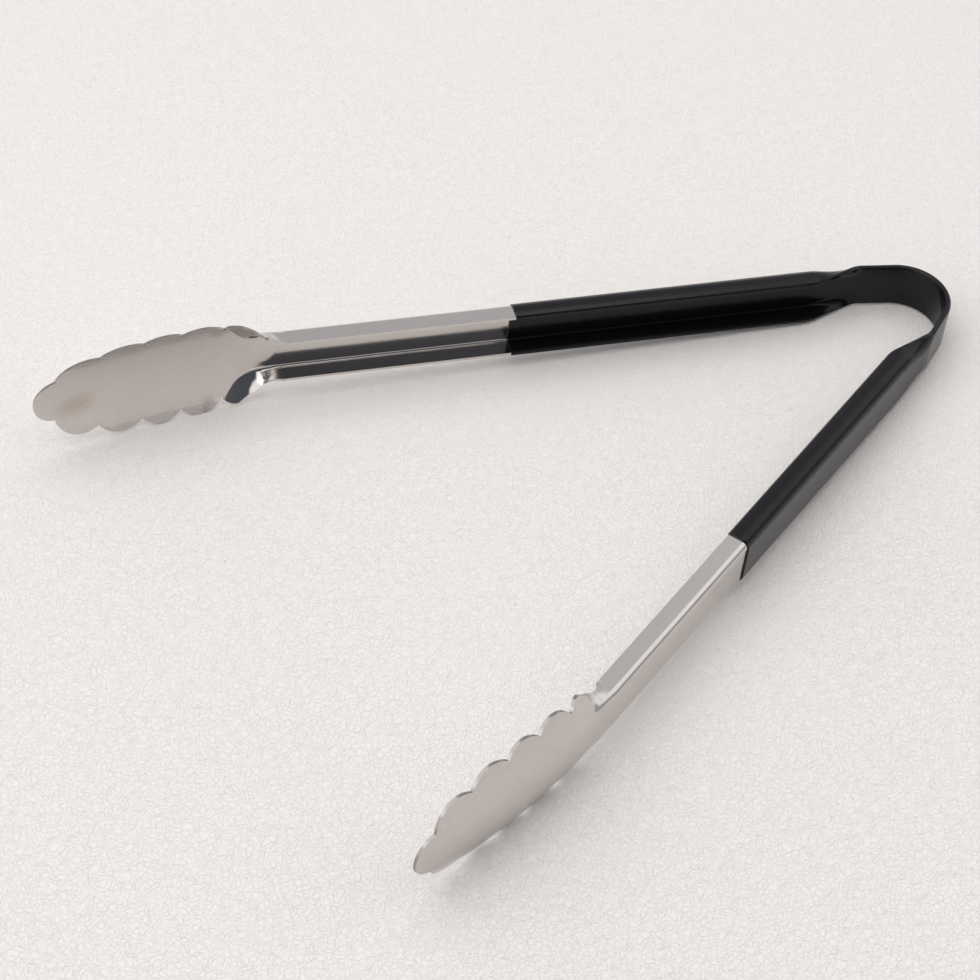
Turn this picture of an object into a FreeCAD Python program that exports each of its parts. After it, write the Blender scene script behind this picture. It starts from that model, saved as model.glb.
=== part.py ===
import FreeCAD, Part
import os
import Sketcher

# One-piece sprung kitchen tongs: a single strip of stainless steel whose middle is bent into a
# round spring bow and whose two ends are folded into U channels, each running out into a
# scalloped, cupped jaw.  A dipped vinyl grip covers the bow and the rear of both channels.
#
# Frame: +X runs from the jaw tips to the crown of the bow, Y across the opening, +Z up through
# the width of the strip.  The origin is the bottom centre of the open tongs' bounding box.
# Each arm is drawn in its own frame: x along the arm from the bow, y inwards from the outer
# face of the web towards the other arm, z across the strip.

doc = FreeCAD.newDocument("kitchen_tongs")
sizes = doc.addObject("Spreadsheet::Sheet", "Sizes")
profiles = doc.addObject("Spreadsheet::Sheet", "Profiles")
rows = {"Sizes": 0, "Profiles": 0}


def write(sheet, name, value):
    """Writes one named number or formula on its own row of a sheet."""
    rows[sheet.Name] += 1
    line = rows[sheet.Name]
    sheet.set("A%d" % line, name)
    sheet.set("B%d" % line, str(value))
    sheet.setAlias("B%d" % line, name)


def number(sheet, name):
    """The present value of a named cell."""
    value = sheet.get(name)
    return float(getattr(value, "Value", value))


# Driving sizes in millimetres and degrees, one row each of the sheet Sizes.
SIZES = {
    # whole tool: half the angle between the arms
    "half_opening_angle": 20.6,
    "strip_width": 15.8,
    "steel_thickness": 0.9,
    # bow: the outer radius of its crown, its straight sides, how much wider they splay than
    # the arms, and how far inside the plane of the arm's web each side ends
    "bow_radius": 15.05,
    "bow_side": 11.2,
    "bow_flare": 6.9,
    "bow_inset": 0.52,
    # how far the strip runs from there while its edges fold up into the channel
    "unfold_first_run": 4.5,
    "unfold_second_run": 9,
    "unfold_third_run": 13.5,
    "unfold_fourth_run": 17.5,
    "channel_run": 21,
    "channel_settle": 2.5,
    # channel: outer height and depth, and the outer radius of its folds
    "channel_height": 16.6,
    "channel_depth": 7,
    "channel_corner": 2,
    "channel_angle": 90,
    # vinyl coat, measured from the steel
    "coat_thickness": 0.5,
    "coat_lip": 0.35,
    "coat_chamfer": 0.5,
    "grip_end": 122.44,
    # sections on the way from flat strip to channel: half web, outer fold radius, fold, flange
    "unfold_first_web": 3.9,
    "unfold_first_corner": 6,
    "unfold_first_angle": 35,
    "unfold_first_flange": 1.25,
    "unfold_second_web": 4.15,
    "unfold_second_corner": 4,
    "unfold_second_angle": 62,
    "unfold_second_flange": 1.7,
    "unfold_third_web": 5.1,
    "unfold_third_corner": 2.8,
    "unfold_third_angle": 78,
    "unfold_third_flange": 3.05,
    "unfold_fourth_web": 6.1,
    "unfold_fourth_corner": 2.1,
    "unfold_fourth_angle": 88,
    "unfold_fourth_flange": 4.65,
    # jaw: where its web starts to curve inwards, on what radius, and how it is cupped
    "jaw_start": 197.64,
    "jaw_curve": 262,
    "cup_crown": 38.4,
    "cup_web": 16,
    "cup_angle": 28,
    "cup_flange": 4.5,
    # run of each section from jaw_start while the channel opens out into the cup
    "root_first_run": 1.2,
    "root_second_run": 5.4,
    "root_third_run": 8.3,
    "root_fourth_run": 10.8,
    "root_fifth_run": 15.8,
    "root_sixth_run": 18.5,
    "root_seventh_run": 21.3,
    "cup_run": 27.3,
    # those sections: as above, with the radius on which the web is crowned
    "root_first_web": 6.3,
    "root_first_crown": 400,
    "root_first_corner": 2.02,
    "root_first_angle": 89.7,
    "root_first_flange": 4.93,
    "root_second_web": 6.5,
    "root_second_crown": 400,
    "root_second_corner": 2.3,
    "root_second_angle": 75,
    "root_second_flange": 3.7,
    "root_third_web": 6.5,
    "root_third_crown": 200,
    "root_third_corner": 2.6,
    "root_third_angle": 59,
    "root_third_flange": 4.8,
    "root_fourth_web": 6.5,
    "root_fourth_crown": 80,
    "root_fourth_corner": 3.5,
    "root_fourth_angle": 38,
    "root_fourth_flange": 6.8,
    "root_fifth_web": 9.5,
    "root_fifth_crown": 45,
    "root_fifth_corner": 3,
    "root_fifth_angle": 30,
    "root_fifth_flange": 9,
    "root_sixth_web": 13.3,
    "root_sixth_crown": 40,
    "root_sixth_corner": 3,
    "root_sixth_angle": 31,
    "root_sixth_flange": 6,
    # scalloped edge, from the root to the tip: half widths, lengths and heights of the arcs
    "ear_setback": 7.2,
    "ear_foot": 10.4,
    "ear_length": 13.55,
    "ear_peak": 16.45,
    "ear_peak_back": 5.5,
    "ear_bulge": 0.95,
    "notch_fifth": 14.8,
    "pitch_fourth": 13.6,
    "bulge_fourth": 3.05,
    "notch_fourth": 16.1,
    "pitch_third": 12.9,
    "bulge_third": 2.5,
    "notch_third": 16.1,
    "pitch_second": 14.5,
    "bulge_second": 2.8,
    "notch_second": 14.4,
    "pitch_first": 14.35,
    "bulge_first": 3.7,
    "notch_first": 8.05,
    "tip_depth": 7,
}

# What follows from them.
DERIVED = {
    "channel_web": "channel_height / 2 - channel_corner",
    "channel_flange": "channel_depth - channel_corner",
    "cup_corner": "cup_crown",
    "station_foot": "jaw_start + ear_setback",
    "station_fifth": "station_foot + ear_length",
    "station_peak": "station_fifth - ear_peak_back",
    "station_fourth": "station_fifth + pitch_fourth",
    "station_third": "station_fourth + pitch_third",
    "station_second": "station_third + pitch_second",
    "station_first": "station_second + pitch_first",
    "jaw_reach": "station_first + tip_depth",
    "tip_turn": "asin((jaw_reach - jaw_start) / jaw_curve)",
    "tip_inset": "jaw_curve * (1 - cos(tip_turn)) + steel_thickness / cos(tip_turn)",
    "side_angle": "half_opening_angle + bow_flare",
    "side_end_x": "bow_radius * sin(side_angle) - bow_side * cos(side_angle)",
    "side_end_y": "bow_radius * cos(side_angle) + bow_side * sin(side_angle)",
    "arm_x": "side_end_x + bow_inset * sin(half_opening_angle)",
    "arm_y": "side_end_y + bow_inset * cos(half_opening_angle)",
    "tip_back": "jaw_reach * cos(half_opening_angle) + tip_inset * sin(half_opening_angle) - arm_x",
    "bow_centre": "(tip_back - bow_radius - coat_thickness) / 2",
    "bow_sweep": "180 - 2 * side_angle",
    "mid_height": "(notch_third + notch_fourth) / 2 + bulge_third",
    "trim_reach": "2 * ear_peak",
}

for label in SIZES:
    write(sizes, label, SIZES[label])
for label in DERIVED:
    write(sizes, label, "=" + DERIVED[label])
doc.recompute()


def plane(body, role):
    """One of a body's own origin planes or axes."""
    return [item for item in body.Origin.OriginFeatures if item.Role == role][0]


def new_body(name):
    body = doc.addObject("PartDesign::Body", name)
    body.Label = name
    return body


def new_sketch(body, name, role, across="0", up="0", along="0", turn="0"):
    """A sketch on one of the body's origin planes, moved and turned by formulas."""
    sketch = body.newObject("Sketcher::SketchObject", name)
    sketch.AttachmentSupport = [(plane(body, role), "")]
    sketch.MapMode = "FlatFace"
    sketch.AttachmentOffset = FreeCAD.Placement(
        FreeCAD.Vector(0, 0, 0), FreeCAD.Rotation(FreeCAD.Vector(0, 1, 0), 1)
    )
    sketch.setExpression("AttachmentOffset.Base.x", across)
    sketch.setExpression("AttachmentOffset.Base.y", up)
    sketch.setExpression("AttachmentOffset.Base.z", along)
    sketch.setExpression("AttachmentOffset.Rotation.Angle", turn)
    return sketch


def fix(sketch, curve, end, name_x, name_y):
    """Pins one end of a curve at the point that two named cells give."""
    for kind, name in (("DistanceX", name_x), ("DistanceY", name_y)):
        value = number(profiles, name)
        at = sketch.addConstraint(Sketcher.Constraint(kind, -1, 1, curve, end, value))
        sketch.setExpression("Constraints[%d]" % at, "Profiles.%s" % name)


def join(sketch, curves):
    """Closes a loop of (curve, from end, to end) triples."""
    for first, second in zip(curves, curves[1:] + curves[:1]):
        meet = Sketcher.Constraint("Coincident", first[0], first[2], second[0], second[1])
        sketch.addConstraint(meet)


def round_to(sketch, curve, name):
    """Drives an arc's radius from a named cell."""
    at = sketch.addConstraint(Sketcher.Constraint("Radius", curve, number(profiles, name)))
    sketch.setExpression("Constraints[%d]" % at, "Profiles.%s" % name)


def arc_between(start, end, radius, bulge_left):
    """An arc of a given radius from start to end, passing on the left or right of the chord."""
    chord = end.sub(start)
    half = chord.Length / 2
    side = FreeCAD.Vector(-chord.y, chord.x, 0)
    side.normalize()
    if not bulge_left:
        side = side.negative()
    rise = radius - max(radius * radius - half * half, 0) ** 0.5
    middle = start.add(chord.multiply(0.5)).add(side.multiply(rise))
    return Part.Arc(start, middle, end)


def channel_profile(name, source, coated=False, crowned=False, back="0"):
    """Writes the corners of half a folded strip's section, as cells named after it.

    source: prefix of the section's own sizes, back: how far the sketch's origin stands inwards.
    """
    web = "Sizes.%s_web" % source
    grow = "Sizes.coat_thickness" if coated else "0"
    straight = "Sizes.%s_flange%s" % (source, " + Sizes.coat_lip" if coated else "")
    write(profiles, name + "_wall", "=Sizes.steel_thickness + 2 * %s" % grow)
    write(profiles, name + "_turn", "=Sizes.%s_angle" % source)
    write(profiles, name + "_outer", "=Sizes.%s_corner + %s" % (source, grow))
    write(profiles, name + "_inner", "=%s_outer - %s_wall" % (name, name))
    lean = "asin(%s / Sizes.%s_crown)" % (web, source) if crowned else "0"
    write(profiles, name + "_lean", "=" + lean)
    rise = "0"
    if crowned:
        write(profiles, name + "_cup", "=Sizes.%s_crown + %s" % (source, grow))
        write(profiles, name + "_hollow", "=%s_cup - %s_wall" % (name, name))
        rise = "Sizes.%s_crown * (1 - cos(%s_lean))" % (source, name)
    corners = [
        ("a", "%s - %s * cos(@_lean) - %s" % (rise, grow, back), "%s + %s * sin(@_lean)" % (web, grow)),
        ("b", "@_ax + @_outer * (cos(@_lean) - cos(@_turn))", "@_ay + @_outer * (sin(@_turn) - sin(@_lean))"),
        ("c", "@_bx + (%s) * sin(@_turn)" % straight, "@_by + (%s) * cos(@_turn)" % straight),
        ("d", "@_cx + @_wall * cos(@_turn)", "@_cy - @_wall * sin(@_turn)"),
        ("e", "@_bx + @_wall * cos(@_turn)", "@_by - @_wall * sin(@_turn)"),
        ("f", "@_ax + @_wall * cos(@_lean)", "@_ay - @_wall * sin(@_lean)"),
    ]
    for letter, x, y in corners:
        write(profiles, "%s_%sx" % (name, letter), "=" + x.replace("@", name))
        write(profiles, "%s_%sy" % (name, letter), "=" + y.replace("@", name))
    if coated:
        chamfered_end(name)


def chamfered_end(name):
    """Writes the four points g to j that chamfer a coated section's free end, c to d."""
    for axis in "xy":
        along = "({0}_c{1} - {0}_b{1}) / sqrt(({0}_cx - {0}_bx) ^ 2 + ({0}_cy - {0}_by) ^ 2)".format(name, axis)
        inwards = "({0}_d{1} - {0}_c{1}) / {0}_wall".format(name, axis)
        write(profiles, "%s_g%s" % (name, axis), "=%s_c%s - Sizes.coat_chamfer * %s" % (name, axis, along))
        write(profiles, "%s_h%s" % (name, axis), "=%s_c%s + Sizes.coat_chamfer * %s" % (name, axis, inwards))
        write(profiles, "%s_i%s" % (name, axis), "=%s_d%s - Sizes.coat_chamfer * %s" % (name, axis, inwards))
        write(profiles, "%s_j%s" % (name, axis), "=%s_d%s - Sizes.coat_chamfer * %s" % (name, axis, along))


def flat_profile(name, coated=False):
    """Writes the points of half a flat strip's section, split like a folded one."""
    grow = "Sizes.coat_thickness" if coated else "0"
    write(profiles, name + "_wall", "=Sizes.steel_thickness + 2 * (%s)" % grow)
    width = "Sizes.strip_width / 2" + (" + Sizes.coat_lip" if coated else "")
    for letter, share in (("a", "0.6"), ("b", "0.8"), ("c", "1")):
        write(profiles, "%s_%sx" % (name, letter), "=0 - (%s)" % grow)
        write(profiles, "%s_%sy" % (name, letter), "=(%s) * %s" % (width, share))
    for letter, twin in (("d", "c"), ("e", "b"), ("f", "a")):
        write(profiles, "%s_%sx" % (name, letter), "=%s_%sx + %s_wall" % (name, twin, name))
        write(profiles, "%s_%sy" % (name, letter), "=%s_%sy" % (name, twin))
    if coated:
        chamfered_end(name)


# corners of the upper half of a section, from the outer middle round the free edge to the inner
BARE = "abcdef"
COATED = "abghijef"
BARE_STRIP = "cd"
COATED_STRIP = "ghij"
FOLDS = {"ab": "_outer", "BA": "_outer", "ef": "_inner", "FE": "_inner"}
CUPPED = {"ab": "_outer", "BA": "_outer", "ef": "_inner", "FE": "_inner", "Aa": "_cup", "fF": "_hollow"}


def draw_section(sketch, name, half, rounds):
    """Draws a closed section, alike above and below, through the profile cells of that name."""
    upper = [half[0].upper() + half[0]] + [start + end for start, end in zip(half, half[1:])]
    lower = [pair[::-1].upper() for pair in upper[:0:-1]]
    order = upper + [half[-1] + half[-1].upper()] + lower
    point = {}
    for letter in half:
        x = number(profiles, "%s_%sx" % (name, letter))
        y = number(profiles, "%s_%sy" % (name, letter))
        point[letter] = FreeCAD.Vector(x, y, 0)
        point[letter.upper()] = FreeCAD.Vector(x, -y, 0)
    curves = []
    for pair in order:
        start = FreeCAD.Vector(point[pair[0]])
        end = FreeCAD.Vector(point[pair[1]])
        if pair in rounds:
            reach = number(profiles, name + rounds[pair])
            outside = rounds[pair] in ("_outer", "_cup")
            curve = sketch.addGeometry(arc_between(start, end, reach, outside), False)
            curves.append((curve, 2, 1) if outside else (curve, 1, 2))
        else:
            curve = sketch.addGeometry(Part.LineSegment(start, end), False)
            curves.append((curve, 1, 2))
    join(sketch, curves)
    for place, letter in enumerate(half):
        above = (curves[place][0], curves[place][2])
        below = (curves[-place][0], curves[-place][1])
        fix(sketch, *above, "%s_%sx" % (name, letter), "%s_%sy" % (name, letter))
        sketch.addConstraint(Sketcher.Constraint("Symmetric", *above, *below, -1))
    for pair, curve in zip(order, curves):
        if pair in rounds:
            round_to(sketch, curve[0], name + rounds[pair])
    return sketch


def pad(body, name, sketch, length, middle=False, reverse=False):
    """Extrudes a sketch by a formula."""
    feature = body.newObject("PartDesign::Pad", name)
    feature.Profile = sketch
    feature.Length = 10
    feature.setExpression("Length", length)
    feature.Midplane = middle
    feature.Reversed = reverse
    feature.Refine = False
    sketch.Visibility = False
    return feature


def loft(body, name, sketches):
    """Blends one section smoothly into the next."""
    feature = body.newObject("PartDesign::AdditiveLoft", name)
    feature.Profile = sketches[0]
    feature.Sections = sketches[1:]
    feature.Ruled = False
    feature.Closed = False
    feature.Refine = False
    return feature


def turn(body, name, sketch, axis, angle, middle=False, reverse=False):
    """Revolves a sketch by a formula about an axis."""
    feature = body.newObject("PartDesign::Revolution", name)
    feature.Profile = sketch
    feature.ReferenceAxis = axis
    feature.Angle = 10
    feature.setExpression("Angle", angle)
    feature.Midplane = middle
    feature.Reversed = reverse
    feature.Refine = False
    sketch.Visibility = False
    return feature


# ---- sections across an arm, bare and grown by the coat
UNFOLDING = ["unfold_first", "unfold_second", "unfold_third", "unfold_fourth"]
ROOT = ["root_first", "root_second", "root_third", "root_fourth", "root_fifth", "root_sixth"]
CROWNED = ROOT + ["cup"]
for shape in UNFOLDING + ["channel"] + CROWNED:
    channel_profile(shape, shape, crowned=shape in CROWNED)
for shape in UNFOLDING + ["channel"]:
    channel_profile("coat_" + shape, shape, coated=True)
channel_profile("blade", "cup", crowned=True, back="Sizes.jaw_curve")
flat_profile("flat")
flat_profile("coat_flat", coated=True)
doc.recompute()


def arm_section(body, shape, station, coated=False):
    """One section across an arm, square to the path of its web, at a station given by a formula."""
    name = "%s_%s_%d" % (body.Name, shape, len(body.Group))
    swing = "asin(min(1; max(0; (%s - Sizes.jaw_start) / Sizes.jaw_curve)))" % station
    across = "Sizes.jaw_curve * (1 - cos(%s))" % swing
    sketch = new_sketch(body, name, "YZ_Plane", across, "0", station, swing)
    draw_section(
        sketch,
        ("coat_" if coated else "") + shape,
        COATED if coated else BARE,
        CUPPED if shape in CROWNED else FOLDS,
    )
    return sketch


def strip_section(body, coated=False):
    """The flat section at the start of an arm, in line with the side of the bow that it meets."""
    name = "%s_flat" % body.Name
    sketch = new_sketch(body, name, "YZ_Plane", "Sizes.bow_inset", "0", "0", "-1 * Sizes.bow_flare")
    draw_section(sketch, "coat_flat" if coated else "flat", COATED if coated else BARE, {})
    return sketch


def folded_strip(name, coated=False):
    """The strip of one arm from the bow to the end of its channel, bare or grown by the coat."""
    body = new_body(name)
    start = "Sizes.channel_run + Sizes.channel_settle"
    end = "Sizes.grip_end" if coated else "Sizes.jaw_start"
    square = arm_section(body, "channel", start, coated)
    pad(body, name + "_channel", square, "%s - (%s)" % (end, start))
    sections = [strip_section(body, coated)]
    for shape in UNFOLDING + ["channel"]:
        sections.append(arm_section(body, shape, "Sizes.%s_run" % shape, coated))
    sections.append(arm_section(body, "channel", start, coated))
    loft(body, name + "_unfolding", sections)
    return body


def outline_point(name, x, y):
    write(profiles, name + "_x", "=" + x)
    write(profiles, name + "_y", "=" + y)


outline_point("outline_foot", "Sizes.station_foot", "Sizes.ear_foot")
outline_point("outline_peak", "Sizes.station_peak", "Sizes.ear_peak")
outline_point("outline_fifth", "Sizes.station_fifth", "Sizes.notch_fifth")
outline_point("outline_fourth", "Sizes.station_fourth", "Sizes.notch_fourth")
outline_point("outline_third", "Sizes.station_third", "Sizes.notch_third")
outline_point("outline_second", "Sizes.station_second", "Sizes.notch_second")
outline_point("outline_first", "Sizes.station_first", "Sizes.notch_first")
outline_point("outline_far", "Sizes.jaw_reach + Sizes.trim_reach", "Sizes.trim_reach")
outline_point("outline_near", "Sizes.station_foot", "Sizes.trim_reach")


def bulge_cells(name, start, end, bulge):
    """Writes the crown of an arc that rises by a named bulge above the chord of two points."""
    span = "sqrt((outline_{1}_x - outline_{0}_x) ^ 2 + (outline_{1}_y - outline_{0}_y) ^ 2)".format(start, end)
    write(profiles, name + "_span", "=" + span)
    middle = "(outline_{0}_x + outline_{1}_x) / 2 + {2} * (outline_{0}_y - outline_{1}_y) / {3}_span"
    write(profiles, name + "_x", "=" + middle.format(start, end, bulge, name))
    middle = "(outline_{0}_y + outline_{1}_y) / 2 + {2} * (outline_{1}_x - outline_{0}_x) / {3}_span"
    write(profiles, name + "_y", "=" + middle.format(start, end, bulge, name))
    write(profiles, name + "_radius", "={1} / 2 + {0}_span ^ 2 / (8 * {1})".format(name, bulge))


bulge_cells("scallop_ear", "peak", "fifth", "Sizes.ear_bulge")
bulge_cells("scallop_fourth", "fifth", "fourth", "Sizes.bulge_fourth")
bulge_cells("scallop_third", "fourth", "third", "Sizes.bulge_third")
bulge_cells("scallop_second", "third", "second", "Sizes.bulge_second")
bulge_cells("scallop_first", "second", "first", "Sizes.bulge_first")
write(profiles, "tip_round", "=Sizes.tip_depth / 2 + Sizes.notch_first ^ 2 / (2 * Sizes.tip_depth)")
doc.recompute()


def outline_sketch(body, name):
    """Everything outside the scalloped outline of a jaw, as one closed C-shaped region."""
    sketch = new_sketch(body, name, "XZ_Plane")
    sketch.setExpression("AttachmentOffset.Rotation.Angle", "0")
    names = ["near", "foot", "peak", "fifth", "fourth", "third", "second", "first"]
    arcs = {
        ("peak", "fifth"): "scallop_ear",
        ("fifth", "fourth"): "scallop_fourth",
        ("fourth", "third"): "scallop_third",
        ("third", "second"): "scallop_second",
        ("second", "first"): "scallop_first",
    }

    def spot(name, side=1):
        x = number(profiles, "outline_%s_x" % name)
        y = number(profiles, "outline_%s_y" % name)
        return FreeCAD.Vector(x, side * y, 0)

    upper = []
    lower = []
    for start, end in zip(names, names[1:]):
        for side, chain in ((1, upper), (-1, lower)):
            if (start, end) in arcs:
                cell = arcs[(start, end)]
                x = number(profiles, cell + "_x")
                y = number(profiles, cell + "_y")
                crest = FreeCAD.Vector(x, side * y, 0)
                curve = sketch.addGeometry(Part.Arc(spot(start, side), crest, spot(end, side)), False)
                chain.append((curve, 2, 1) if side > 0 else (curve, 1, 2))
            else:
                line = Part.LineSegment(spot(start, side), spot(end, side))
                chain.append((sketch.addGeometry(line, False), 1, 2))
    reach = FreeCAD.Vector(number(sizes, "jaw_reach"), 0, 0)
    tip = sketch.addGeometry(Part.Arc(spot("first"), reach, spot("first", -1)), False)
    loop = list(upper)
    loop.append((tip, 2, 1))
    loop.extend((curve, end, start) for curve, start, end in reversed(lower))
    corners = [spot("near", -1), spot("far", -1), spot("far"), spot("near")]
    for start, end in zip(corners, corners[1:]):
        loop.append((sketch.addGeometry(Part.LineSegment(start, end), False), 1, 2))
    join(sketch, loop)
    for index, (start, end) in enumerate(zip(names, names[1:])):
        fix(sketch, upper[index][0], upper[index][2], "outline_%s_x" % end, "outline_%s_y" % end)
        match = Sketcher.Constraint(
            "Symmetric", upper[index][0], upper[index][2], lower[index][0], lower[index][2], -1
        )
        sketch.addConstraint(match)
        if (start, end) in arcs:
            round_to(sketch, upper[index][0], arcs[(start, end)] + "_radius")
            round_to(sketch, lower[index][0], arcs[(start, end)] + "_radius")
    round_to(sketch, tip, "tip_round")
    fix(sketch, upper[0][0], upper[0][1], "outline_near_x", "outline_near_y")
    fix(sketch, loop[-2][0], loop[-2][2], "outline_far_x", "outline_far_y")
    ends = [(upper[0][0], upper[0][1], lower[0][0], lower[0][1])]
    ends.append((loop[-2][0], loop[-2][2], loop[-2][0], loop[-2][1]))
    for pair in ends:
        sketch.addConstraint(Sketcher.Constraint("Symmetric", *pair, -1))
    return sketch


def arm(name):
    """One bare steel arm: folded strip, run-out, cupped jaw and its scalloped edge."""
    body = folded_strip(name)
    sections = [arm_section(body, "channel", "Sizes.jaw_start")]
    for shape in ROOT:
        sections.append(arm_section(body, shape, "Sizes.jaw_start + Sizes.%s_run" % shape))
    for run in ("root_seventh_run", "cup_run"):
        sections.append(arm_section(body, "cup", "Sizes.jaw_start + Sizes.%s" % run))
    loft(body, name + "_root", sections)
    swing = "asin(Sizes.cup_run / Sizes.jaw_curve)"
    blade = new_sketch(body, name + "_blade", "YZ_Plane", "Sizes.jaw_curve", "0", "Sizes.jaw_start", swing)
    draw_section(blade, "blade", BARE, CUPPED)
    past = "asin((Sizes.jaw_reach + Sizes.tip_depth / 2 - Sizes.jaw_start) / Sizes.jaw_curve)"
    turn(body, name + "_jaw", blade, (blade, ["V_Axis"]), "%s - %s" % (past, swing))
    outside = outline_sketch(body, name + "_outline")
    scallops = body.newObject("PartDesign::Pocket", name + "_scallops")
    scallops.Profile = outside
    scallops.Type = "ThroughAll"
    scallops.Midplane = True
    scallops.Refine = False
    return body


def set_on_arm(body):
    """Places a body drawn in the arm's frame on the left of the bow."""
    body.Placement = FreeCAD.Placement(
        FreeCAD.Vector(0, 0, 0), FreeCAD.Rotation(FreeCAD.Vector(0, 0, 1), 1)
    )
    body.setExpression("Placement.Base.x", "Sizes.bow_centre + Sizes.arm_x")
    body.setExpression("Placement.Base.y", "Sizes.arm_y")
    body.setExpression("Placement.Base.z", "Sizes.mid_height")
    body.setExpression("Placement.Rotation.Angle", "180 - Sizes.half_opening_angle")


def bow(name, coated=False):
    """The strip bent round the crown of the spring bow, with a straight side towards each arm."""
    body = new_body(name)
    profile = "coat_flat" if coated else "flat"
    ends = [
        ("crown", "Sizes.bow_radius", "0", "180"),
        ("left", "Sizes.bow_radius * sin(Sizes.side_angle)",
         "-1 * Sizes.bow_radius * cos(Sizes.side_angle)", "270 - Sizes.side_angle"),
        ("right", "Sizes.bow_radius * sin(Sizes.side_angle)",
         "Sizes.bow_radius * cos(Sizes.side_angle)", "90 + Sizes.side_angle"),
    ]
    for side, across, along, angle in ends:
        sketch = new_sketch(body, name + "_section_" + side, "XZ_Plane", across, "0", along, angle)
        draw_section(sketch, profile, COATED_STRIP if coated else BARE_STRIP, {})
        if side == "crown":
            axis = (plane(body, "Z_Axis"), [""])
            turn(body, name + "_round", sketch, axis, "Sizes.bow_sweep", middle=True)
        else:
            pad(body, "%s_%s_side" % (name, side), sketch, "Sizes.bow_side", reverse=side == "right")
    body.setExpression("Placement.Base.x", "Sizes.bow_centre")
    body.setExpression("Placement.Base.z", "Sizes.mid_height")
    return body


def hollowed(name, full, core):
    """A coat: its full section with the steel inside it taken away."""
    cut = doc.addObject("Part::Cut", name)
    cut.Label = name
    cut.Base = full
    cut.Tool = core
    return cut


def mirrored(name, twin):
    """The right-hand twin of a left-hand node, across the plane between the arms."""
    node = doc.addObject("Part::Mirroring", name)
    node.Label = name
    node.Source = twin
    node.Normal = FreeCAD.Vector(0, 1, 0)
    return node


arm_left = arm("arm_left")
coat_left = folded_strip("coat_left", coated=True)
set_on_arm(arm_left)
set_on_arm(coat_left)
spring_bow = bow("spring_bow")
coat_bow = bow("coat_bow", coated=True)
grip_left = hollowed("grip_left", coat_left, arm_left)
bow_grip = hollowed("bow_grip", coat_bow, spring_bow)
arm_right = mirrored("arm_right", arm_left)
grip_right = mirrored("grip_right", grip_left)
doc.recompute()

# ---- every feature must have solved, and every node must be one sound solid
broken = [item.Name for item in doc.Objects if "Invalid" in item.State or "Error" in item.State]
if broken:
    raise RuntimeError("features that did not solve: " + ", ".join(broken))
nodes = [spring_bow, bow_grip, arm_left, arm_right, grip_left, grip_right]
os.makedirs("parts", exist_ok=True)
for node in nodes:
    shape = node.Shape
    if shape.isNull() or not shape.isValid() or len(shape.Solids) != 1:
        raise RuntimeError("not one sound solid: " + node.Name)
    shape.exportStep("parts/%s.step" % node.Name)
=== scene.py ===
import math

import bmesh
import bpy
from mathutils import Matrix, Vector


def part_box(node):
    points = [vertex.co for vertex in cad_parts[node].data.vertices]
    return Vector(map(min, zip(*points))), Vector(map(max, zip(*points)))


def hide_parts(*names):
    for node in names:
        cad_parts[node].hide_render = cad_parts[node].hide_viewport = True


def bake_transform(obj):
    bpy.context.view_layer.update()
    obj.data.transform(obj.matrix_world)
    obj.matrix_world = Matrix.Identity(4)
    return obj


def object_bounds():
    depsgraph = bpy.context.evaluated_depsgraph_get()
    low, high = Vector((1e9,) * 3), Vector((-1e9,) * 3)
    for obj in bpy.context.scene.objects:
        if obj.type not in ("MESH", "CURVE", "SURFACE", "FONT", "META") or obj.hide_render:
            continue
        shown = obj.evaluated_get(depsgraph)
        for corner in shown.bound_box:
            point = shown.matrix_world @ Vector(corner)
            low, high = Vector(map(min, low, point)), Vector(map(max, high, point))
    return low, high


# Sprung kitchen tongs lying open on their side: satin steel arms with cupped, scalloped jaws,
# and one dipped black vinyl grip over the rear of the arms and the spring bow that joins them.
# X runs from the jaws to the bow, Y from the right arm to the left, Z up across the strip.

MM = 0.001
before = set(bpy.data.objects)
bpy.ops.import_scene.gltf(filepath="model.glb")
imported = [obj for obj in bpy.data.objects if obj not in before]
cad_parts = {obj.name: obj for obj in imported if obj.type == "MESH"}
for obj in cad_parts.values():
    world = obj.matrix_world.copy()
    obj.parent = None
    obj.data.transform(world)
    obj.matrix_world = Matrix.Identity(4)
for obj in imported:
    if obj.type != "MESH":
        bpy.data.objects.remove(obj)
cad_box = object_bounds()

# ---- sizes of the bow and of the arms' rear ends, as the frame has them
HALF_OPENING = math.radians(20.6)
BOW_SPLAY = math.radians(27.5)
BOW_SWEEP = math.radians(90) - BOW_SPLAY
BOW_RADIUS = 15.05 * MM
BOW_SIDE = 11.2 * MM
STEEL = 0.9 * MM
COAT = 0.5 * MM
LEFT, RIGHT = 1, -1
SIDES = {"left": LEFT, "right": RIGHT}

bow_low, bow_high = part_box("bow_grip")
BOW_AXIS = Vector((bow_high[0] - COAT - BOW_RADIUS, 0, (bow_low[2] + bow_high[2]) / 2))
COAT_TOP = bow_high[2] - BOW_AXIS.z
STRIP_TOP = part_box("spring_bow")[1][2] - BOW_AXIS.z

# where each arm's outer face starts, measured from the bow's axis
ARM_BACK = 2.802 * MM
ARM_ASIDE = 19.008 * MM
ARM_START = {side: BOW_AXIS + Vector((-ARM_BACK, side * ARM_ASIDE, 0)) for side in SIDES.values()}


def out_along(side):
    """The direction of an arm, from the bow to the jaw."""
    return Vector((-math.cos(HALF_OPENING), side * math.sin(HALF_OPENING), 0))


def across(side):
    """The direction from the outer face of an arm towards the other arm."""
    return Vector((-math.sin(HALF_OPENING), -side * math.cos(HALF_OPENING), 0))


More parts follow.
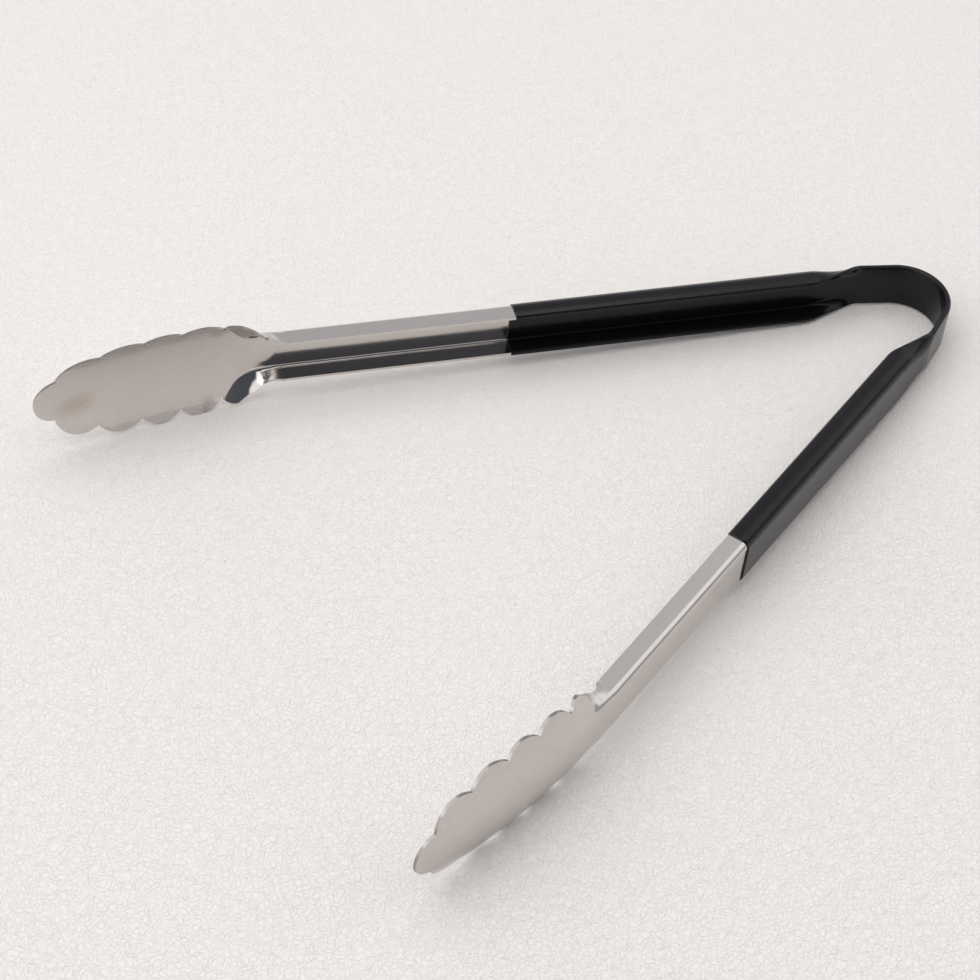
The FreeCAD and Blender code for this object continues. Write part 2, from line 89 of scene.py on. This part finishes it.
# ---- finishes
class Signal:
    """A shader value that takes part in arithmetic; every operation adds its Math node."""

    def __init__(self, wiring, socket):
        self.wiring = wiring
        self.socket = socket

    def maths(self, operation, first, second):
        return self.wiring.node("ShaderNodeMath", {"operation": operation}, {0: first, 1: second})

    def __add__(self, other):
        return self.maths("ADD", self, other)

    def __radd__(self, other):
        return self.maths("ADD", other, self)

    def __sub__(self, other):
        return self.maths("SUBTRACT", self, other)

    def __rsub__(self, other):
        return self.maths("SUBTRACT", other, self)

    def __mul__(self, other):
        return self.maths("MULTIPLY", self, other)

    def __rmul__(self, other):
        return self.maths("MULTIPLY", other, self)


class Wiring:
    """A node tree, and the few ways in which this script adds nodes to one."""

    def __init__(self, tree):
        self.tree = tree

    def node(self, kind, settings=None, inputs=None, output=0):
        """Adds a node, sets it up, feeds its sockets and gives one of its outputs."""
        made = self.tree.nodes.new(kind)
        for name, value in (settings or {}).items():
            setattr(made, name, value)
        for name, value in (inputs or {}).items():
            self.feed(made.inputs[name], value)
        return Signal(self, made.outputs[output])

    def feed(self, socket, value):
        if isinstance(value, Signal):
            self.tree.links.new(value.socket, socket)
        else:
            socket.default_value = value

    def blend(self, share, first, second):
        """A colour that goes from the first to the second as the share goes from 0 to 1."""
        return self.node(
            "ShaderNodeMix", {"data_type": "RGBA"}, {0: share, 6: first, 7: second}, output=2
        )

    def step(self, value, start, end):
        """A smooth step from 0 where the value is at start to 1 where it is at end."""
        return self.node(
            "ShaderNodeMapRange",
            {"interpolation_type": "SMOOTHSTEP"},
            {"Value": value, "From Min": start, "From Max": end},
        )

    def towards(self, vector, direction):
        """How far a vector goes in a direction."""
        unit = tuple(Vector(direction).normalized())
        return self.node(
            "ShaderNodeVectorMath",
            {"operation": "DOT_PRODUCT"},
            {0: vector, 1: unit},
            output="Value",
        )

    def distance(self, vector, point):
        """How far a place is from a point."""
        return self.node(
            "ShaderNodeVectorMath", {"operation": "DISTANCE"}, {0: vector, 1: point}, output="Value"
        )


class Finish(Wiring):
    """A surface finish, built up from nodes on one Principled shader."""

    def __init__(self, name, **constants):
        self.material = bpy.data.materials.new(name)
        self.material.use_nodes = True
        super().__init__(self.material.node_tree)
        self.shader = self.tree.nodes["Principled BSDF"]
        for socket, value in constants.items():
            self.shader.inputs[socket.replace("_", " ")].default_value = value
        # a point's place in the frame, in metres
        self.metres = self.node("ShaderNodeTexCoord", output="Object")

    def surface(self, **sockets):
        """Feeds what varies over the surface into the shader."""
        for socket, value in sockets.items():
            self.feed(self.shader.inputs[socket.replace("_", " ")], value)

    def millimetres(self, angle=0.0, stretch=(1, 1, 1)):
        """Object coordinates in millimetres, turned about Z and stretched."""
        scale = [1 / MM * factor for factor in stretch]
        turned = self.node(
            "ShaderNodeMapping",
            {"vector_type": "POINT"},
            {"Vector": self.metres, "Rotation": (0, 0, angle)},
        )
        return self.node("ShaderNodeVectorMath", {"operation": "MULTIPLY"}, {0: turned, 1: scale})

    def noise(self, where, scale, detail=2.0, roughness=0.5):
        return self.node(
            "ShaderNodeTexNoise",
            {"noise_dimensions": "3D"},
            {"Vector": where, "Scale": scale, "Detail": detail, "Roughness": roughness},
        )

    def bump(self, height, depth, strength=1.0, under=None):
        sockets = {"Height": height, "Distance": depth, "Strength": strength}
        if under is not None:
            sockets["Normal"] = under
        return self.node("ShaderNodeBump", {}, sockets)


def grey(level, tint=(1, 1, 1)):
    return (level * tint[0], level * tint[1], level * tint[2], 1)


WARM = (1.05, 0.997, 0.952)
SHEET_DARK, SHEET_PALE = grey(0.57, WARM), grey(0.62, WARM)
STREAK = grey(0.50, WARM)
CUT_EDGE = grey(0.32, WARM)
BROWN = (0.50, 0.44, 0.38, 1)

# along the arm, from the frame's origin: where the jaw opens out, and where it is fully cupped
JAW_ROOT = 92.5 * MM
CUP_START = JAW_ROOT + 12 * MM
CUP_FULL = JAW_ROOT + 24 * MM

# the middle of the stain inside the left jaw, in millimetres, and how flat the stain is
STAIN = (-129.0, 103.1, 14.0)
STAIN_SQUASH = 1.6


def satin_steel(name, side):
    """Rolled stainless sheet, brushed faintly along the arm, with duller cut edges on the jaw."""
    finish = Finish(name, Metallic=1.0)
    brushed = finish.millimetres(side * HALF_OPENING, (0.04, 1, 1))
    brushing = finish.noise(brushed, scale=2.0, detail=4.0, roughness=0.65)
    rolled = finish.millimetres(side * HALF_OPENING, (0.4, 1, 1))
    clouding = finish.noise(rolled, scale=0.06)
    station = finish.towards(finish.metres, out_along(side))
    jaw = finish.step(station, JAW_ROOT, JAW_ROOT + 3 * MM)
    cup = finish.step(station, CUP_START, CUP_FULL)
    facing = finish.towards(finish.node("ShaderNodeTexCoord", output="Normal"), across(side))
    sheared = jaw * (1 - finish.step(facing * facing, 0.05, 0.15))
    streaks = finish.step(brushing, 0.35, 0.75)

    squashed = finish.millimetres(stretch=(1, 1, STAIN_SQUASH))
    middle = (STAIN[0], STAIN[1], STAIN[2] * STAIN_SQUASH)
    near_middle = 1 - finish.step(finish.distance(squashed, middle), 1.0, 10.0)
    inner_face = finish.step(facing, 0.0, 0.3)
    stain = near_middle * (brushing * 1.7 - 0.05) * inner_face

    sheet = finish.blend(clouding, SHEET_DARK, SHEET_PALE)
    sheet = finish.blend(streaks * (0.3 + cup * 0.2), sheet, STREAK)
    sheet = finish.blend(stain, sheet, BROWN)
    finish.surface(
        Base_Color=finish.blend(sheared, sheet, CUT_EDGE),
        Roughness=0.09 + brushing * 0.09 + cup * 0.08,
        Normal=finish.bump(brushing, depth=0.004 * MM, strength=0.6),
    )
    return finish.material


BLUISH = (1, 1, 1.25)
VINYL_DARK, VINYL_PALE = grey(0.004, BLUISH), grey(0.006, BLUISH)

# the crown across each flange: its middle inside the arm's outer face, its reach and its radius,
# and how far from the bow it takes to come in, while the strip still folds up
FLANGE_MIDDLE = 3.5 * MM
FLANGE_HALF = 4.0 * MM
CROWN_RADIUS = 10 * MM
FOLD_RUN = 25 * MM


def dipped_vinyl(name, side):
    """Semi-gloss black vinyl with the faint ripple of a dipped coat, crowned on the flanges."""
    finish = Finish(name, Specular_IOR_Level=0.25)
    where = finish.millimetres()
    ripple = finish.noise(where, scale=0.35)
    pores = finish.noise(where, scale=6.0)

    middle = ARM_START[side].dot(across(side)) + FLANGE_MIDDLE
    off_middle = finish.towards(finish.metres, across(side)) - middle
    fall = finish.node(
        "ShaderNodeMath", {"operation": "MINIMUM"}, {0: off_middle * off_middle, 1: FLANGE_HALF**2}
    )
    arm_root = ARM_START[side].dot(out_along(side))
    station = finish.towards(finish.metres, out_along(side))
    folded = finish.step(station, arm_root, arm_root + FOLD_RUN)
    crown = finish.bump(0 - fall * folded, depth=1 / (2 * CROWN_RADIUS))

    skin = finish.bump(ripple, depth=0.12 * MM, strength=0.5, under=crown)
    finish.surface(
        Base_Color=finish.blend(ripple, VINYL_DARK, VINYL_PALE),
        Roughness=0.15 + pores * 0.08,
        Normal=finish.bump(pores, depth=0.01 * MM, strength=0.4, under=skin),
    )
    return finish.material


HIDE_DARK, HIDE_PALE = (0.818, 0.782, 0.742, 1), (0.878, 0.839, 0.797, 1)
# painted shade: the colour the creases are darkened towards, standing in for the shade down in them
CREASE_PAINTED_SHADE = (0.60, 0.56, 0.545, 1)

# how far the cells of the grain wander from a plain pattern, in millimetres
SWAY = 5

# the creases, and the painted shade in them, are stronger towards one side of the table and round a
# point in the shade beside the right arm, in millimetres
COARSE_SIDE = (-0.66, -0.75, 0)
RIGHT_ARM_SHADE_POINT = (64.0, -76.0, 0.0)


def pale_leather(name):
    """The off-white, fine-grained table top, with painted shade darkening its creases."""
    finish = Finish(name, Roughness=0.45, Specular_IOR_Level=0.45)
    where = finish.millimetres()
    wander = finish.node(
        "ShaderNodeTexNoise",
        {"noise_dimensions": "3D"},
        {"Vector": where, "Scale": 0.3},
        output="Color",
    )
    swayed = finish.node(
        "ShaderNodeVectorMath",
        {"operation": "MULTIPLY_ADD"},
        {0: wander, 1: (SWAY, SWAY, SWAY), 2: where},
    )
    to_edge = finish.node(
        "ShaderNodeTexVoronoi", {"feature": "DISTANCE_TO_EDGE"}, {"Vector": swayed, "Scale": 0.58}
    )
    pebbles = finish.noise(where, scale=1.1, detail=3.0, roughness=0.65)
    coarser = finish.step(finish.towards(where, COARSE_SIDE), -100, 170)
    near_right_arm_shade = 1 - finish.step(finish.distance(where, RIGHT_ARM_SHADE_POINT), 10.0, 70.0)
    # the creases' grain, which also sets the painted shade in their colour, stronger on the near
    # side and beside the right arm
    crease_and_painted_shade = (1 - finish.step(to_edge, 0.0, 0.15)) * (0.55 + coarser * 0.22 + near_right_arm_shade * 0.12)

    hide = finish.blend(pebbles, HIDE_DARK, HIDE_PALE)
    skin = finish.bump(pebbles, depth=0.25 * MM, strength=0.7)
    finish.surface(
        # painted shade darkens the colour in the creases
        Base_Color=finish.blend(crease_and_painted_shade * 0.06, hide, CREASE_PAINTED_SHADE),
        Normal=finish.bump(1 - crease_and_painted_shade, depth=0.22 * MM, strength=0.75, under=skin),
    )
    return finish.material


def dress(piece, material):
    piece.data.materials.clear()
    piece.data.materials.append(material)


steel = {side: satin_steel("satin_steel_" + word, side) for word, side in SIDES.items()}
vinyl = {side: dipped_vinyl("dipped_vinyl_" + word, side) for word, side in SIDES.items()}
for word, side in SIDES.items():
    dress(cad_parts["arm_" + word], steel[side])
    dress(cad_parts["grip_" + word], vinyl[side])


# ---- the bow, in two halves, one on each side
BOW_STEPS = 48
COAT_ROUNDING = 0.8 * MM
STEEL_ROUNDING = 0.1 * MM
SHARP_EDGE = math.radians(50)


def half_bow(name, side, grow, top, rounding, material, node):
    """Half of the strip round the bow, from the crown to the end of its straight side."""
    outer = BOW_RADIUS + grow
    inner = BOW_RADIUS - STEEL - grow
    mesh = bmesh.new()
    corners = [(outer, -top), (outer, top), (inner, top), (inner, -top)]
    ring = [mesh.verts.new((radius, 0, height)) for radius, height in corners]
    section = mesh.faces.new(ring)
    bmesh.ops.bevel(
        mesh, geom=section.verts[:] + section.edges[:], offset=rounding, segments=4, profile=0.5,
        affect="VERTICES", material=-1,
    )
    swept = bmesh.ops.spin(
        mesh, geom=mesh.faces[:] + mesh.edges[:], cent=(0, 0, 0), axis=(0, 0, 1),
        angle=side * BOW_SWEEP, steps=BOW_STEPS, use_duplicate=False,
    )
    end_faces = [item for item in swept["geom_last"] if isinstance(item, bmesh.types.BMFace)]
    straight = Vector((-math.cos(BOW_SPLAY), side * math.sin(BOW_SPLAY), 0)) * BOW_SIDE
    run = bmesh.ops.extrude_face_region(mesh, geom=end_faces)
    moved = [item for item in run["geom"] if isinstance(item, bmesh.types.BMVert)]
    bmesh.ops.translate(mesh, vec=straight, verts=moved)
    bmesh.ops.delete(mesh, geom=end_faces, context="FACES_ONLY")
    bmesh.ops.translate(mesh, vec=BOW_AXIS, verts=mesh.verts[:])
    bmesh.ops.remove_doubles(mesh, verts=mesh.verts[:], dist=1e-7)
    bmesh.ops.recalc_face_normals(mesh, faces=mesh.faces[:])
    for face in mesh.faces:
        face.smooth = True
    data = bpy.data.meshes.new(name)
    mesh.to_mesh(data)
    mesh.free()
    piece = bpy.data.objects.new(name, data)
    bpy.context.scene.collection.objects.link(piece)
    data.materials.append(material)
    data.set_sharp_from_angle(angle=SHARP_EDGE)
    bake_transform(piece)
    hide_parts(node)
    return piece


for word, side in SIDES.items():
    coat_half = half_bow(
        "bow_grip_" + word, side, COAT, COAT_TOP, COAT_ROUNDING,
        vinyl[side], "bow_grip",
    )
    steel_half = half_bow(
        "spring_bow_" + word, side, 0, STRIP_TOP, STEEL_ROUNDING,
        steel[side], "spring_bow",
    )


# ---- the table, which slopes up from under the jaws' lowest edge to the bow's lower edge
JAW_REST_X = -90.26 * MM
SLOPE = bow_low[2] / (bow_high[0] - JAW_REST_X)
TABLE_GAP = 0.05 * MM

board = bmesh.new()
bmesh.ops.create_grid(board, x_segments=1, y_segments=1, size=3)
for corner in board.verts:
    corner.co.z = SLOPE * (corner.co.x - JAW_REST_X) - TABLE_GAP
table_mesh = bpy.data.meshes.new("table_top")
board.to_mesh(table_mesh)
board.free()
table = bpy.data.objects.new("table_top", table_mesh)
bpy.context.scene.collection.objects.link(table)
table_mesh.materials.append(pale_leather("pale_leather"))


# ---- light: one wide soft box above the tongs, and the room round them
def soft_light(name, direction, distance, size, power):
    """A square lamp that looks at the tongs from a direction."""
    lamp = bpy.data.lights.new(name, "AREA")
    lamp.size = size
    lamp.energy = power
    holder = bpy.data.objects.new(name, lamp)
    bpy.context.scene.collection.objects.link(holder)
    away = Vector(direction).normalized()
    holder.location = away * distance
    holder.rotation_euler = away.to_track_quat("Z", "Y").to_euler()


soft_light("overhead_box", (-0.26, 0.16, 1.0), distance=1.4, size=1.8, power=10.7)

COOL = (1.10, 1.095, 1.13)
UPPER_WALL, LOWER_WALL = grey(0.54, COOL), grey(0.84, COOL)

# patches of the room: the direction, the angles from it at which the patch starts and is full
# (in degrees), and the colour
PATCHES = (
    # bright, high up beyond the bow
    ((0.72, -0.12, 0.69), 40, 24, grey(1.05, COOL)),
    # brighter, beyond the jaws
    ((-0.87, -0.17, 0.47), 45, 25, grey(1.15, COOL)),
    # dark, half way up beside the right arm
    ((-0.346, -0.742, 0.574), 37, 22, grey(0.09, (0.92, 1, 1.2))),
    # grey, low down behind the bow and to its right
    ((0.83, -0.5, 0.2), 26, 14, grey(0.46)),
)

world = bpy.data.worlds.new("soft_room")
bpy.context.scene.world = world
world.use_nodes = True
room = Wiring(world.node_tree)
outwards = room.node("ShaderNodeTexCoord", output="Generated")


def cone(direction, edge, core):
    """1 in the part of the room within an angle of a direction, falling to 0 at a wider one."""
    limits = (math.cos(math.radians(angle)) for angle in (edge, core))
    return room.step(room.towards(outwards, direction), *limits)


low_down = room.step(room.towards(outwards, (0, 0, 1)), 0.36, 0.16)
walls = room.blend(low_down, UPPER_WALL, LOWER_WALL)
for direction, edge, core, colour in PATCHES:
    walls = room.blend(cone(direction, edge, core), walls, colour)
room.feed(room.tree.nodes["Background"].inputs["Color"], walls)

# ---- camera: what it looks at, from how far away, and its angles
TARGET = Vector((cad_box[0][0] + 103.353 * MM, 2.872 * MM, BOW_AXIS.z))
DISTANCE = 998.43 * MM
AZIMUTH, ELEVATION, ROLL = (math.radians(angle) for angle in (-41.4845, 45.5397, 8.0879))
back = Vector(
    (
        math.sin(AZIMUTH) * math.cos(ELEVATION),
        -math.cos(AZIMUTH) * math.cos(ELEVATION),
        math.sin(ELEVATION),
    )
)
level = (-back).cross(Vector((0, 0, 1))).normalized()
rise = level.cross(-back)
rightwards = level * math.cos(ROLL) + rise * math.sin(ROLL)
upright = rise * math.cos(ROLL) - level * math.sin(ROLL)

lens = bpy.data.cameras.new("camera")
lens.sensor_width = 36
lens.lens = 118.31
lens.clip_start = 0.05
camera = bpy.data.objects.new("camera", lens)
bpy.context.scene.collection.objects.link(camera)
turn = Matrix((rightwards, upright, back)).transposed().to_4x4()
camera.matrix_world = Matrix.Translation(TARGET + back * DISTANCE) @ turn
bpy.context.scene.camera = camera

bpy.context.scene.view_settings.view_transform = "Standard"
